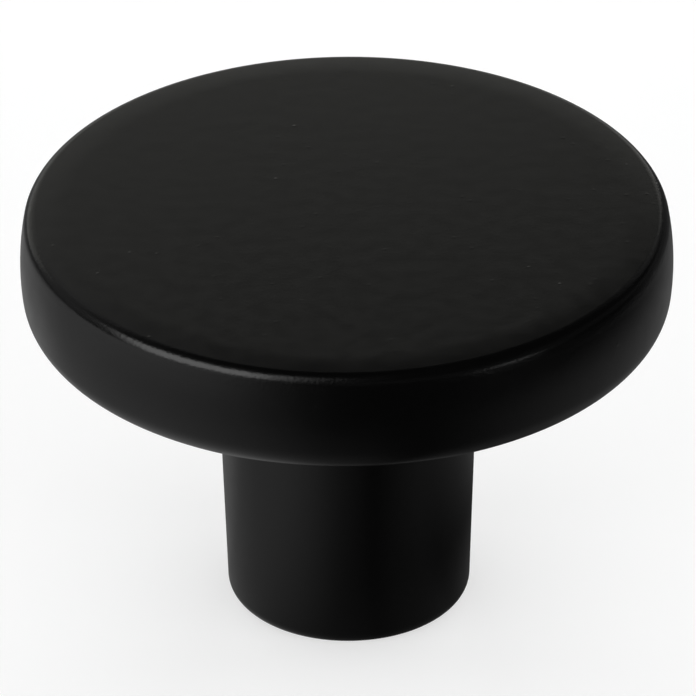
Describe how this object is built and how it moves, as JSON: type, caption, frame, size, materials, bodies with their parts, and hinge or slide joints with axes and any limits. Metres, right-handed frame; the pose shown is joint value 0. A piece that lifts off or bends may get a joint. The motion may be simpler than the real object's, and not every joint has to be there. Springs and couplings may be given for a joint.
{
  "type": "cabinet knob",
  "caption": "Round cabinet knob: a flat disc head with softened edges on a slightly tapered stem, with a blind screw hole in the foot, to pull a door or drawer open.",
  "frame": {"origin": "centre of the mounting face at the foot of the stem", "axes": "+Z along the knob's axis, from the cabinet face out to the head; X and Y are free, because the knob is round"},
  "size_m": [0.032, 0.032, 0.0215],
  "materials": {
    "satin_black_paint": "satin black paint on a zinc casting"
  },
  "bodies": {
    "root": {"knob": "satin_black_paint"}
  },
  "joints": []
}
